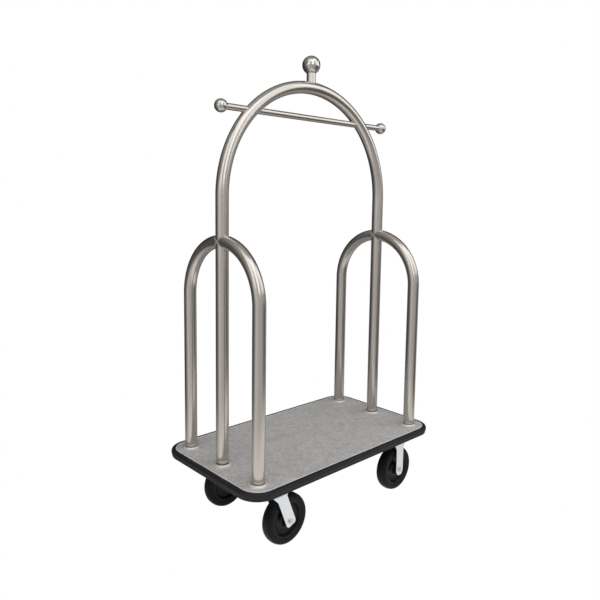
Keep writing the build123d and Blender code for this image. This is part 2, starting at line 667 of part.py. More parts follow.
# ---- wheels --------------------------------------------------------------------------------
wheel_places = [
    ("front_left", pin_x + trail, -wheel_y),
    ("back_left", pin_x + trail, wheel_y),
    ("front_right", rigid_x, -wheel_y),
    ("back_right", rigid_x, wheel_y),
]
for corner, x, y in wheel_places:
    wheel_plane = Plane(origin=(x, y, wheel_r), x_dir=(0, 1, 0), z_dir=(1, 0, 0))
    axle_line = Axis((x, y, wheel_r), (0, 1, 0))

    with BuildPart() as bearing:
        with BuildSketch(Plane.XZ.offset(-y)):
            with Locations((x, wheel_r)):
                with PolarLocations(roller_pitch_r, roller_count):
                    Circle(roller_dia / 2)
        extrude(amount=roller_length / 2, both=True)
        for end in (-1, 1):
            with BuildSketch(Plane.XZ.offset(-(y + end * (roller_length / 2 + cage_end_fit)))):
                with Locations((x, wheel_r)):
                    Circle(hub_bore_r - cage_gap)
                    Circle(bushing_r + cage_gap, mode=Mode.SUBTRACT)
            extrude(amount=-end * cage_end)
        with BuildSketch(Plane.XZ.offset(-y)):
            with Locations((x, wheel_r)):
                with PolarLocations(roller_pitch_r, roller_count, start_angle=180 / roller_count):
                    Rectangle(cage_bar_width, cage_bar_thick)
        extrude(amount=roller_length / 2 + cage_end_fit, both=True)
    bearing.part.label = f"{corner}_roller_bearing"
    export_step(bearing.part, f"parts/{corner}_roller_bearing.step")

    with BuildPart() as hub:
        with BuildSketch(wheel_plane):
            with BuildLine():
                Polyline(
                    (0, hub_bore_r),
                    (hub_half, hub_bore_r),
                    (hub_half, hub_end_r),
                    *hub_web,
                    *hub_dish,
                    rim_edge,
                    (tyre_seat_half, tyre_seat_r),
                    (0, tyre_seat_r),
                )
                mirror(about=Plane.YZ)
            make_face()
        revolve(axis=axle_line)
    hub.part.label = f"{corner}_wheel_hub"
    export_step(hub.part, f"parts/{corner}_wheel_hub.step")

    with BuildPart() as tyre:
        with BuildSketch(wheel_plane):
            with BuildLine():
                Polyline(
                    (0, tyre_seat_r),
                    (tyre_seat_half, tyre_seat_r),
                    rim_edge,
                    (wheel_width / 2, tyre_wall_low),
                    (wheel_width / 2, tyre_wall_high),
                )
                wall_top, tread_edge = (wheel_width / 2, tyre_wall_high), (tread_half, wheel_r)
                ThreePointArc(wall_top, tyre_shoulder, tread_edge)
                Line(tread_edge, (0, wheel_r))
                mirror(about=Plane.YZ)
            make_face()
        revolve(axis=axle_line)
    tyre.part.label = f"{corner}_tyre"
    export_step(tyre.part, f"parts/{corner}_tyre.step")
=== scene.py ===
import math

import bmesh
import bpy
from mathutils import Matrix, Vector, noise


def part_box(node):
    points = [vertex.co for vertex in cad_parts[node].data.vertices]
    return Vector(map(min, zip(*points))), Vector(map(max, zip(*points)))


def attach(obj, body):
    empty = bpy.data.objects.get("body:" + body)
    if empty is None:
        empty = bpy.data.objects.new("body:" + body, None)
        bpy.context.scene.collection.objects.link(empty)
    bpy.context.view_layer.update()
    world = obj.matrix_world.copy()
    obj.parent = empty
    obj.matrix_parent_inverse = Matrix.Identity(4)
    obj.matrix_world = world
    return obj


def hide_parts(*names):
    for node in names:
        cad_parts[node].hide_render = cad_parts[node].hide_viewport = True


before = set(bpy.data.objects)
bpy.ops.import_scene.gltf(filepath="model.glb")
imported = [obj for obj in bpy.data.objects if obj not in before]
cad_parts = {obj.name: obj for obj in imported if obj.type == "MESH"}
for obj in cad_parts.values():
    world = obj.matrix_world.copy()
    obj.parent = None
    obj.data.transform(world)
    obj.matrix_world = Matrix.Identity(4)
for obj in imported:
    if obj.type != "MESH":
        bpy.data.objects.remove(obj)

# Hotel luggage cart.  Metres, +Z up, in the CAD's frame: origin on the floor under
# the middle of the deck, -X the swivel-caster end, -Y the front.

for default in ("Cube", "Camera", "Light"):
    if default in bpy.data.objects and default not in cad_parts:
        bpy.data.objects.remove(bpy.data.objects[default])
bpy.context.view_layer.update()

TAU = 2 * math.pi
MM = 0.001

# ---- places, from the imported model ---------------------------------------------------
low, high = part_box("upright_left")
TUBE_R = (high.x - low.x) / 2
POST_X = -(low.x + high.x) / 2
TUBE_FOOT = low.z
ARCH_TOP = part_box("main_arch")[1].z - TUBE_R
ARCH_SPRING = ARCH_TOP - POST_X
low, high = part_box("hoop_tube_front_left")
POST_Y = -low.y - TUBE_R
HOOP_SPRING = high.z - TUBE_R - POST_Y
low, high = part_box("hanger_bar")
BAR_R, BAR_Z = (high.z - low.z) / 2, (low.z + high.z) / 2
low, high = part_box("finial_stem")
STEM_R = (high.x - low.x) / 2
BALL_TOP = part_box("finial_ball")[1]
FINIAL_R = BALL_TOP.x
FINIAL_Z = BALL_TOP.z - FINIAL_R
low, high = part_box("hanger_ball_right")
BAR_BALL_X, BAR_BALL_R = (low.x + high.x) / 2, (high.y - low.y) / 2
BOARD_BOTTOM, BOARD_TOP = (v.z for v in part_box("deck_board"))
DECK_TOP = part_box("carpet")[1].z
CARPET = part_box("carpet")[1]
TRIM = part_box("deck_trim")[1]
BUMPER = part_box("bumper")[1]
FLANGE_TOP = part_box("post_flanges")[1].z
FLANGE_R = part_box("post_flanges")[1].x - POST_X
BOARD_CORNER = 72 * MM
POSTS = [(x, y) for x in (-POST_X, POST_X) for y in (-POST_Y, 0.0, POST_Y)]
CORNERS = ("front_left", "back_left", "front_right", "back_right")


# ---- material graphs -----------------------------------------------------------------
def add_node(tree, kind, inputs=None, **settings):
    """Adds a shader node, whose inputs take numbers or links."""
    node = tree.nodes.new("ShaderNode" + kind)
    for key, value in settings.items():
        setattr(node, key, value)
    for key, value in (inputs or {}).items():
        if isinstance(value, bpy.types.NodeSocket):
            tree.links.new(value, node.inputs[key])
        else:
            node.inputs[key].default_value = value
    return node


class Graph:
    """A node material: one Principled shader, whose sockets take numbers or links."""

    def __init__(self, name, **values):
        self.material = bpy.data.materials.new(name)
        self.material.use_nodes = True
        self.tree = self.material.node_tree
        self.shader = self.tree.nodes["Principled BSDF"]
        for key, value in values.items():
            self.shader.inputs[key.replace("_", " ")].default_value = value

    def add(self, kind, inputs=None, **settings):
        return add_node(self.tree, kind, inputs, **settings)

    def link(self, value, socket):
        self.tree.links.new(value, self.shader.inputs[socket])

    def place(self, scale, source="Object"):
        """Coordinates in metres, or the mesh's own flow attribute, times scale."""
        if source == "flow":
            vector = self.add("Attribute", attribute_name="flow").outputs["Vector"]
        else:
            vector = self.add("TexCoord").outputs[source]
        if not hasattr(scale, "__len__"):
            scale = (scale,) * 3
        return self.add("VectorMath", {0: vector, 1: scale}, operation="MULTIPLY").outputs[0]

    def noise(self, vector, detail=2.0, roughness=0.5, distortion=0.0):
        inputs = {
            "Vector": vector,
            "Scale": 1.0,
            "Detail": detail,
            "Roughness": roughness,
            "Distortion": distortion,
        }
        return self.add("TexNoise", inputs).outputs["Fac"]

    def cells(self, vector, feature="F1", output="Distance"):
        node = self.add("TexVoronoi", {"Vector": vector, "Scale": 1.0}, feature=feature)
        return node.outputs[output]

    def spread(self, value, low, high, out_low, out_high):
        """value, mapped from low..high to out_low..out_high and kept there."""
        inputs = {
            "Value": value,
            "From Min": low,
            "From Max": high,
            "To Min": out_low,
            "To Max": out_high,
        }
        return self.add("MapRange", inputs).outputs[0]

    def sum(self, *terms):
        """The sum of (value, weight) pairs."""
        total = None
        for value, weight in terms:
            inputs = {0: value, 1: weight, 2: 0.0 if total is None else total}
            total = self.add("Math", inputs, operation="MULTIPLY_ADD").outputs[0]
        return total

    def tone(self, value, *stops):
        """A colour ramp through (position, colour) stops."""
        node = self.add("ValToRGB", {"Fac": value})
        points = node.color_ramp.elements
        while len(points) < len(stops):
            points.new(0.5)
        for point, (position, colour) in zip(points, stops):
            point.position = position
            point.color = (*colour, 1.0)
        return node.outputs["Color"]

    def over(self, factor, below, above):
        inputs = {"Factor": factor, 6: below, 7: above}
        return self.add("Mix", inputs, data_type="RGBA").outputs[2]

    def bump(self, height, distance, strength=1.0):
        inputs = {"Height": height, "Distance": distance, "Strength": strength}
        self.link(self.add("Bump", inputs).outputs["Normal"], "Normal")


def shades(colour, *factors):
    """Ramp stops from 0 to 1: the colour times each factor."""
    last = len(factors) - 1
    return [(i / last, tuple(min(1.0, c * f) for c in colour)) for i, f in enumerate(factors)]


ALONG_X, ALONG_Z, EVEN = (0.012, 1, 1), (1, 1, 0.012), (1, 1, 1)


def brushed(name, colour, roughness, source="flow", stretch=ALONG_Z, depth=6e-6, metal=1.0):
    """Satin metal: fine polishing lines along the stretched axis, with cloudy variation."""
    g = Graph(name, Metallic=metal)
    fine = g.noise(g.place([2600 * s for s in stretch], source), 3.0, 0.65)
    wide = g.noise(g.place([420 * s for s in stretch], source), 2.0, 0.6)
    cloud = g.noise(g.place(9.0), 3.0, 0.55)
    grain = g.sum((fine, 0.5), (wide, 0.32), (cloud, 0.18))
    g.link(g.tone(grain, *shades(colour, 0.80, 0.94, 1.0, 1.05, 1.14)), "Base Color")
    g.link(g.spread(grain, 0.3, 0.7, roughness - 0.06, roughness + 0.09), "Roughness")
    g.bump(g.sum((fine, 0.6), (wide, 0.4)), depth)
    return g.material


def polished(name, colour, roughness):
    """Buffed metal: nearly a mirror, with faint haze and wiping marks."""
    g = Graph(name, Metallic=1.0)
    haze = g.noise(g.place(60.0), 4.0, 0.6, 0.4)
    marks = g.noise(g.place((900.0, 900.0, 60.0)), 2.0, 0.5, 0.8)
    both = g.sum((haze, 0.6), (marks, 0.4))
    g.link(g.tone(both, *shades(colour, 0.86, 1.0, 1.0, 1.06)), "Base Color")
    g.link(g.spread(both, 0.3, 0.7, roughness * 0.7, roughness * 1.6), "Roughness")
    g.bump(marks, 2e-6)
    return g.material


def zinc(name, colour, roughness):
    """Bright zinc plating: small crystals, faint warm and cool drifts, some handling marks."""
    g = Graph(name, Metallic=1.0)
    crystals = g.cells(g.place(340.0), output="Color")
    crystal = g.add("SeparateColor", {"Color": crystals}).outputs[0]
    drift = g.noise(g.place(22.0), 3.0, 0.6, 0.6)
    marks = g.noise(g.place((260.0, 260.0, 1500.0)), 3.0, 0.7)
    base = g.tone(g.sum((crystal, 0.3), (marks, 0.7)), *shades(colour, 0.82, 0.97, 1.0, 1.08))
    cool = [c * f for c, f in zip(colour, (0.90, 0.97, 1.06))]
    warm = [c * f for c, f in zip(colour, (1.05, 1.0, 0.88))]
    tint = g.tone(drift, (0.30, cool), (0.5, colour), (0.72, warm))
    g.link(g.over(0.45, base, tint), "Base Color")
    rough = g.sum((crystal, 0.25), (marks, 0.45), (drift, 0.3))
    g.link(g.spread(rough, 0.25, 0.75, roughness - 0.08, roughness + 0.12), "Roughness")
    g.bump(g.sum((marks, 0.7), (crystal, 0.3)), 1.2e-5)
    return g.material


def moulded(name, colour, roughness, grain, depth, worn, gloss):
    """Moulded vinyl, rubber or plastic: fine grain, cloudy sheen and a little dust."""
    g = Graph(name, Specular_IOR_Level=gloss)
    skin = g.noise(g.place(grain), 3.0, 0.6)
    pits = g.cells(g.place(grain * 0.6))
    dust = g.noise(g.place(26.0), 5.0, 0.65)
    film = g.spread(dust, 0.45, 0.75, 0.0, 1.0)
    dark = g.tone(skin, *shades(colour, 0.7, 1.0, 1.3))
    g.link(g.over(film, dark, (*[c * worn for c in colour], 1.0)), "Base Color")
    sheen = g.sum((skin, 0.5), (dust, 0.5))
    g.link(g.spread(sheen, 0.3, 0.7, roughness - 0.1, roughness + 0.1), "Roughness")
    g.bump(g.sum((skin, 0.7), (pits, 0.3)), depth)
    return g.material


def carpet_fibre():
    """Grey needle-punched carpet: matted light and dark fibres in a felt with small dents."""
    g = Graph("carpet_fibre", Roughness=0.95, Sheen_Weight=0.25, Sheen_Roughness=0.6)
    g.shader.inputs["Specular IOR Level"].default_value = 0.15
    strands_a = g.noise(g.place((2400.0, 620.0, 900.0)), 2.0, 0.6, 1.2)
    strands_b = g.noise(g.place((620.0, 2400.0, 900.0)), 2.0, 0.6, 1.2)
    tufts = g.cells(g.place(430.0), "SMOOTH_F1")
    felt = g.noise(g.place(95.0), 3.0, 0.75)
    patches = g.noise(g.place(24.0), 4.0, 0.65, 0.5)
    light_fibres = g.spread(strands_a, 0.55, 0.66, 0.0, 1.0)
    dark_fibres = g.spread(strands_b, 0.56, 0.68, 0.0, 1.0)
    ground = g.tone(
        g.sum((felt, 0.55), (tufts, 0.15), (patches, 0.3)),
        (0.28, (0.255, 0.252, 0.248)),
        (0.42, (0.415, 0.412, 0.406)),
        (0.55, (0.560, 0.556, 0.548)),
        (0.72, (0.760, 0.755, 0.740)),
    )
    with_dark = g.over(g.sum((dark_fibres, 0.6)), ground, (0.16, 0.158, 0.155, 1.0))
    g.link(g.over(g.sum((light_fibres, 0.5)), with_dark, (0.86, 0.85, 0.83, 1.0)), "Base Color")
    pile = g.sum((strands_a, 0.3), (strands_b, 0.3), (felt, 0.4), (tufts, 0.3))
    g.bump(pile, 0.9 * MM)
    return g.material


def plywood():
    """Sealed plywood: grain running along the deck, with growth bands and fine pores."""
    g = Graph("sealed_plywood", Roughness=0.55)
    bands = g.add(
        "TexWave",
        {"Vector": g.place((0.6, 9.0, 9.0)), "Scale": 1.0, "Distortion": 5.0, "Detail": 3.0},
        bands_direction="Y",
    ).outputs["Fac"]
    pores = g.noise(g.place((60.0, 1800.0, 1800.0)), 2.0, 0.7)
    both = g.sum((bands, 0.5), (pores, 0.5))
    g.link(g.tone(both, *shades((0.40, 0.27, 0.155), 0.55, 0.9, 1.0, 1.25)), "Base Color")
    g.link(g.spread(pores, 0.3, 0.7, 0.45, 0.68), "Roughness")
    g.bump(pores, 0.08 * MM)
    return g.material


def enamel(name, colour, roughness):
    """Sprayed enamel: orange peel, with thin scuffs through to a greyer layer."""
    g = Graph(name, Coat_Weight=0.2, Coat_Roughness=0.25)
    peel = g.noise(g.place(700.0), 1.0, 0.4)
    scuff = g.spread(g.noise(g.place((40.0, 1100.0, 300.0)), 4.0, 0.7), 0.60, 0.70, 0.0, 0.6)
    dirt = g.noise(g.place(18.0), 4.0, 0.6)
    base = g.tone(dirt, *shades(colour, 0.7, 1.0, 1.6))
    g.link(g.over(scuff, base, (0.16, 0.16, 0.165, 1.0)), "Base Color")
    g.link(g.spread(dirt, 0.3, 0.7, roughness - 0.08, roughness + 0.12), "Roughness")
    g.bump(peel, 0.03 * MM)
    return g.material


STEEL = (0.640, 0.600, 0.560)
look = {
    "tube_steel": brushed("satin_tube", STEEL, 0.20),
    "bar_steel": brushed("satin_bar", STEEL, 0.20, "Object", ALONG_X),
    "stem_steel": brushed("satin_stem", STEEL, 0.20, "Object", ALONG_Z),
    "weld_steel": brushed("dressed_weld", (0.56, 0.525, 0.49), 0.34, "Object", EVEN, 3e-5),
    "ball_steel": polished("polished_ball", (0.60, 0.585, 0.565), 0.05),
    "flange_steel": brushed("turned_flange", (0.86, 0.83, 0.79), 0.42, metal=0.5),
    "trim": brushed("satin_aluminium", (0.95, 0.94, 0.925), 0.40, metal=0.35),
    "bearing_steel": brushed("ground_steel", (0.50, 0.50, 0.51), 0.30, "Object", (1, 0.02, 1)),
    "zinc_plate": zinc("zinc_plate", (0.86, 0.885, 0.91), 0.30),
    "fastener": zinc("zinc_fastener", (0.70, 0.71, 0.72), 0.26),
    "bumper": moulded("bumper_vinyl", (0.016, 0.017, 0.020), 0.44, 900.0, 4e-5, 1.4, 0.22),
    "tyre": moulded("tyre_rubber", (0.0028, 0.003, 0.0034), 0.46, 1300.0, 3e-5, 2.2, 0.17),
    "wheel_hub": moulded("hub_plastic", (0.0034, 0.0037, 0.004), 0.34, 1500.0, 2e-5, 1.5, 0.24),
    "deck_board": plywood(),
    "carpet": carpet_fibre(),
    "undercarriage": enamel("black_enamel", (0.026, 0.026, 0.028), 0.38),
}


# ---- mesh building -------------------------------------------------------------------
def piece(name, bm, slot, body="cart", material=None, stands_for=(), flow=None):
    """Makes a mesh object of bm that rides on a body, with the finish that its slot calls for."""
    mesh = bpy.data.meshes.new(name)
    bm.to_mesh(mesh)
    bm.free()
    if flow:
        data = mesh.attributes.new("flow", "FLOAT_VECTOR", "POINT").data
        data.foreach_set("vector", [c for point in flow for c in point])
    mesh.materials.append(look[material or slot])
    for polygon in mesh.polygons:
        polygon.use_smooth = True
    obj = bpy.data.objects.new(name, mesh)
    bpy.context.scene.collection.objects.link(obj)
    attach(obj, body)
    if stands_for:
        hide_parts(*stands_for)
    return obj


def loft(bm, flows, rings, flow_rings, looped=False):
    """Skins rings of points, each a closed loop; looped joins the last to the first.

    Without looped, both ends are closed with a fan of triangles.
    """
    made = [[bm.verts.new(p) for p in ring] for ring in rings]
    for ring in flow_rings:
        flows.extend(ring)
    count = len(rings[0])
    spans = len(rings) if looped else len(rings) - 1
    for i in range(spans):
        a, b = made[i], made[(i + 1) % len(rings)]
        for k in range(count):
            n = (k + 1) % count
            bm.faces.new((a[k], a[n], b[n], b[k]))
    if not looped:
        for ring, flow in ((made[0], flow_rings[0]), (made[-1], flow_rings[-1])):
            hub = bm.verts.new(sum((v.co for v in ring), Vector()) / count)
            flows.append(flow[0])
            for k in range(count):
                bm.faces.new((ring[k], ring[(k + 1) % count], hub))


def outward(bm):
    bmesh.ops.recalc_face_normals(bm, faces=bm.faces)
    return bm


def tube_rings(path, radius, sides, side_axis):
    """Rings round a flat path of (point, tangent, length along); side_axis is square to it."""
    rings, flow_rings = [], []
    for point, tangent, along in path:
        other = tangent.cross(side_axis)
        ring, flow = [], []
        for k in range(sides):
            a = TAU * k / sides
            ring.append(point + radius * (math.cos(a) * side_axis + math.sin(a) * other))
            flow.append((radius * math.cos(a), radius * math.sin(a), along))
        rings.append(ring)
        flow_rings.append(flow)
    return rings, flow_rings


def rounded(corners, steps=6):
    """A closed outline from (u, v, radius) corners, each rounded to its radius."""
    points = []
    count = len(corners)
    for i, (u, v, r) in enumerate(corners):
        here = Vector((u, v))
        before = Vector(corners[i - 1][:2]) - here
        after = Vector(corners[(i + 1) % count][:2]) - here
        if r <= 0:
            points.append(here)
            continue
        angle = before.angle(after)
        cut = r / math.tan(angle / 2)
        bisector = (before.normalized() + after.normalized()).normalized()
        centre = here + bisector * (r / math.sin(angle / 2))
        first = here + before.normalized() * cut - centre
        last = here + after.normalized() * cut - centre
        turn = first.angle_signed(last)
        for k in range(steps + 1):
            spun = Matrix.Rotation(-turn * k / steps, 2) @ first
            points.append(centre + spun)
    return points


def turned(bm, flows, outline, origin, axis, start, segments=96):
    """Revolves an outline of (radius, height) points round an axis through origin."""
    other = axis.cross(start)
    rings, flow_rings = [], []
    for i in range(segments):
        a = TAU * i / segments
        out = math.cos(a) * start + math.sin(a) * other
        rings.append([origin + out * r + axis * h for r, h in outline])
        flow_rings.append([(r, h, a * 0.03) for r, h in outline])
    loft(bm, flows, rings, flow_rings, looped=True)


# ---- tube frame ----------------------------------------------------------------------
X, Y, Z = Vector((1, 0, 0)), Vector((0, 1, 0)), Vector((0, 0, 1))
TUBE_SIDES = 64


def straight(a, b, start, steps):
    tangent = (b - a).normalized()
    length = (b - a).length
    return [
        (a.lerp(b, i / steps), tangent, start + length * i / steps) for i in range(steps + 1)
    ]


def make_arch():
    path = straight(
        Vector((-POST_X, 0, TUBE_FOOT)), Vector((-POST_X, 0, ARCH_SPRING)), 0.0, 24
    )
    start = path[-1][2]
    steps = 96
    for i in range(1, steps):
        a = math.pi * i / steps
        point = Vector((-POST_X * math.cos(a), 0, ARCH_SPRING + POST_X * math.sin(a)))
        tangent = Vector((math.sin(a), 0, math.cos(a)))
        path.append((point, tangent, start + POST_X * a))
    path += straight(
        Vector((POST_X, 0, ARCH_SPRING)),
        Vector((POST_X, 0, TUBE_FOOT)),
        start + math.pi * POST_X,
        24,
    )
    bm, flows = bmesh.new(), []
    rings, flow_rings = tube_rings(path, TUBE_R, TUBE_SIDES, Y)
    loft(bm, flows, rings, flow_rings)
    nodes = ("upright_left", "upright_right", "main_arch")
    piece("arch_tube", outward(bm), "tube_steel", stands_for=nodes, flow=flows)


def cope_angle(a):
    """How far round the hoop's bend the line at section angle a meets the upright."""
    reach = TUBE_R * abs(math.cos(a))
    return math.acos(reach / (POST_Y + TUBE_R * math.cos(a)))


def hoop_point(x, side, a, turn):
    """On the hoop's bend: section angle a from outwards, and turn from the spring line."""
    out = POST_Y + TUBE_R * math.cos(a)
    return Vector(
        (
            x + TUBE_R * math.sin(a),
            side * out * math.cos(turn),
            HOOP_SPRING + out * math.sin(turn),
        )
    )


def make_hoop(end_name, x, side_name, side):
    rings, flow_rings = [], []
    angles = [TAU * k / TUBE_SIDES for k in range(TUBE_SIDES)]

    def add_ring(points, along):
        rings.append(points)
        flow_rings.append(
            [(TUBE_R * math.cos(a) + x, TUBE_R * math.sin(a) + side, along) for a in angles]
        )

    steps = 20
    for i in range(steps):
        z = TUBE_FOOT + (HOOP_SPRING - TUBE_FOOT) * i / steps
        y = side * POST_Y
        add_ring(
            [
                Vector((x + TUBE_R * math.sin(a), y + side * TUBE_R * math.cos(a), z))
                for a in angles
            ],
            z,
        )
    steps = 40
    for i in range(steps + 1):
        points = [hoop_point(x, side, a, cope_angle(a) * i / steps) for a in angles]
        add_ring(points, HOOP_SPRING + POST_Y * math.pi / 2 * i / steps)
    bm, flows = bmesh.new(), []
    loft(bm, flows, rings, flow_rings)
    name = f"hoop_tube_{side_name}_{end_name}"
    piece(f"side_{name}", outward(bm), "tube_steel", stands_for=(name,), flow=flows)


# radii of the weld beads
HOOP_BEAD, ARCH_BEAD, STEM_BEAD = 1.7 * MM, 1.3 * MM, 1.6 * MM
BAR_BALL_BEAD, FINIAL_BEAD = 0.9 * MM, 1.1 * MM


def bead(bm, flows, points, centre, radius, ripples):
    """A weld bead round a closed line, its section square to it and turned from centre."""
    sides, count = 10, len(points)
    rings, flow_rings = [], []
    for i, point in enumerate(points):
        tangent = (points[(i + 1) % count] - points[i - 1]).normalized()
        out = point - centre
        out = (out - out.dot(tangent) * tangent).normalized()
        other = tangent.cross(out)
        r = radius * (1 + 0.10 * math.sin(TAU * ripples * i / count))
        ring = []
        for k in range(sides):
            a = TAU * k / sides
            ring.append(point + r * (math.cos(a) * out + math.sin(a) * other))
        rings.append(ring)
        flow_rings.append([tuple(p) for p in ring])
    loft(bm, flows, rings, flow_rings, looped=True)


def circle(radius, count):
    """Points (u, v) round a circle."""
    angles = [TAU * k / count for k in range(count)]
    return [(radius * math.cos(a), radius * math.sin(a)) for a in angles]


def make_welds():
    """Dressed welds: hoops to uprights, bar through the arch, stem on the arch, ball seats."""
    bm, flows = bmesh.new(), []
    for x in (-POST_X, POST_X):
        for side in (-1, 1):
            line = []
            for k in range(120):
                a = TAU * k / 120
                line.append(hoop_point(x, side, a, cope_angle(a)))
            middle = Vector((x, side * 0.3 * TUBE_R, HOOP_SPRING + POST_Y))
            bead(bm, flows, line, middle, HOOP_BEAD, 40)
    rise = BAR_Z - ARCH_SPRING
    for end in (-1, 1):
        for face in (-1, 1):
            line = []
            for y, up in circle(BAR_R, 64):
                z = rise + up
                out = POST_X + face * math.sqrt(TUBE_R**2 - y * y)
                line.append(Vector((end * math.sqrt(out * out - z * z), y, ARCH_SPRING + z)))
            middle = sum(line, Vector()) / len(line)
            bead(bm, flows, line, middle, ARCH_BEAD, 26)
    line = []
    for x, y in circle(STEM_R, 96):
        out = POST_X + math.sqrt(TUBE_R**2 - y * y)
        line.append(Vector((x, y, ARCH_SPRING + math.sqrt(out * out - x * x))))
    bead(bm, flows, line, sum(line, Vector()) / len(line), STEM_BEAD, 30)
    for end in (-1, 1):
        seat = BAR_BALL_X - math.sqrt(BAR_BALL_R**2 - BAR_R**2)
        line = [Vector((end * seat, y, BAR_Z + up)) for y, up in circle(BAR_R, 48)]
        bead(bm, flows, line, Vector((end * seat, 0, BAR_Z)), BAR_BALL_BEAD, 20)
    seat = FINIAL_Z - math.sqrt(FINIAL_R**2 - STEM_R**2)
    line = [Vector((x, y, seat)) for x, y in circle(STEM_R, 72)]
    bead(bm, flows, line, Vector((0, 0, seat)), FINIAL_BEAD, 26)
    piece("frame_welds", outward(bm), "tube_steel", material="weld_steel", flow=flows)


SEAM_DEPTH, SEAM_WIDTH = 0.12 * MM, 0.5 * MM


def make_ball(name, node, centre, radius, axis, start):
    """A polished ball with a shallow turned ring where its halves were joined."""
    outline = []
    steps = 96
    for i in range(steps + 1):
        a = math.pi * i / steps
        from_seam = (a - math.pi / 2) * radius
        groove = SEAM_DEPTH * math.exp(-((from_seam / SEAM_WIDTH) ** 2))
        r = radius - groove
        outline.append((max(r * math.sin(a), 0.02 * MM), -r * math.cos(a)))
    bm, flows = bmesh.new(), []
    turned(bm, flows, outline, centre, axis, start, 96)
    bmesh.ops.remove_doubles(bm, verts=bm.verts, dist=1e-7)
    piece(name, outward(bm), "ball_steel", stands_for=(node,))


make_arch()
for end_name, x in (("left", -POST_X), ("right", POST_X)):
    for side_name, side in (("front", -1), ("back", 1)):
        make_hoop(end_name, x, side_name, side)
make_welds()
make_ball("finial_polished_ball", "finial_ball", Vector((0, 0, FINIAL_Z)), FINIAL_R, Z, X)
for end_name, end in (("left", -1), ("right", 1)):
    centre = Vector((end * BAR_BALL_X, 0, BAR_Z))
    make_ball(f"bar_polished_ball_{end_name}", f"hanger_ball_{end_name}", centre, BAR_BALL_R, X, Y)

# ---- post feet -----------------------------------------------------------------------
FLANGE_OUTLINE = rounded(
    [
        (TUBE_R, TUBE_FOOT, 0),
        (FLANGE_R, TUBE_FOOT, 0),
        (FLANGE_R, DECK_TOP + 1.4 * MM, 1.0 * MM),
        (FLANGE_R - 6.0 * MM, DECK_TOP + 2.6 * MM, 5.0 * MM),
        (TUBE_R + 5.2 * MM, FLANGE_TOP - 1.4 * MM, 2.6 * MM),
        (TUBE_R + 3.6 * MM, FLANGE_TOP, 1.2 * MM),
        (TUBE_R, FLANGE_TOP, 0),
    ]
)
bm, flows = bmesh.new(), []
for x, y in POSTS:
    turned(bm, flows, FLANGE_OUTLINE, Vector((x, y, 0)), Z, X, 72)
piece("turned_post_flanges", outward(bm), "flange_steel", stands_for=("post_flanges",), flow=flows)


# ---- deck edge -----------------------------------------------------------------------
def deck_edge_line():
    """Round the board's edge: (point, outward direction, length along)."""
    line = []
    reach_x, reach_y = CARPET.x - BOARD_CORNER, CARPET.y - BOARD_CORNER
    corner_steps, side_steps = 28, 16
    corners = [
        (reach_x, reach_y, 0.0),
        (-reach_x, reach_y, 0.25),
        (-reach_x, -reach_y, 0.5),
        (reach_x, -reach_y, 0.75),
    ]
    for i, (cx, cy, turn) in enumerate(corners):
        for k in range(corner_steps + 1):
            a = TAU * (turn + 0.25 * k / corner_steps)
            out = Vector((math.cos(a), math.sin(a), 0))
            line.append((Vector((cx, cy, 0)) + out * BOARD_CORNER, out))
        here = line[-1][0]
        nx, ny, _ = corners[(i + 1) % 4]
        there = Vector((nx, ny, 0)) + out * BOARD_CORNER
        for k in range(1, side_steps):
            line.append((here.lerp(there, k / side_steps), out))
    placed, along = [], 0.0
    for i, (point, out) in enumerate(line):
        if i:
            along += (point - line[i - 1][0]).length
        placed.append((point, out, along))
    return placed


EDGE = deck_edge_line()


def deck_ring(name, slot, outline, node):
    """Runs an outline of (distance out from the board, height) round the deck."""
    rings = [[point + out * u + Z * v for u, v in outline] for point, out, _ in EDGE]
    flow_rings = [[(u, v, along) for u, v in outline] for _, _, along in EDGE]
    bm, flows = bmesh.new(), []
    loft(bm, flows, rings, flow_rings, looped=True)
    piece(name, outward(bm), slot, stands_for=(node,), flow=flows)


TRIM_OUT, BUMPER_OUT = TRIM.x - CARPET.x, BUMPER.x - CARPET.x
# the trim folds over the carpet, which is tucked in under it
TRIM_LIP, LIP_RISE, LIP_UNDER = 2.6 * MM, 0.6 * MM, 0.9 * MM
deck_ring(
    "edge_trim_strip",
    "trim",
    rounded(
        [
            (0.0, BOARD_BOTTOM, 0),
            (TRIM_OUT, BOARD_BOTTOM, 0),
            (TRIM_OUT, DECK_TOP + LIP_RISE, 0.6 * MM),
            (-TRIM_LIP, DECK_TOP + LIP_RISE, 0.6 * MM),
            (-TRIM_LIP, DECK_TOP - LIP_UNDER, 0.3 * MM),
            (0.0, DECK_TOP - LIP_UNDER, 0),
        ]
    ),
    "deck_trim",
)
# the bumper: a round bead over a flatter skirt
BEAD_LOW = DECK_TOP - 22 * MM
deck_ring(
    "bumper_strip",
    "bumper",
    rounded(
        [
            (TRIM_OUT, BOARD_BOTTOM, 0),
            (BUMPER_OUT - 3.4 * MM, BOARD_BOTTOM, 2.6 * MM),
            (BUMPER_OUT - 3.0 * MM, BEAD_LOW - 0.4 * MM, 0.5 * MM),
            (BUMPER_OUT - 5.2 * MM, BEAD_LOW + 1.0 * MM, 0.5 * MM),
            (BUMPER_OUT, BEAD_LOW + 1.2 * MM, 6.0 * MM),
            (BUMPER_OUT, DECK_TOP, 9.0 * MM),
            (TRIM_OUT + 1.6 * MM, DECK_TOP, 0.8 * MM),
            (TRIM_OUT + 1.4 * MM, DECK_TOP - 1.2 * MM, 0.4 * MM),
            (TRIM_OUT, DECK_TOP - 1.2 * MM, 0),
        ]
    ),
    "bumper",
)


# ---- carpet --------------------------------------------------------------------------
CARPET_PITCH = 4 * MM
PILE_DROP = 0.5 * MM
FELT_HEIGHT, LUMP_HEIGHT = 0.34 * MM, 0.22 * MM
TUCK_WIDTH, TUCK_DEPTH = 5 * MM, 1.2 * MM


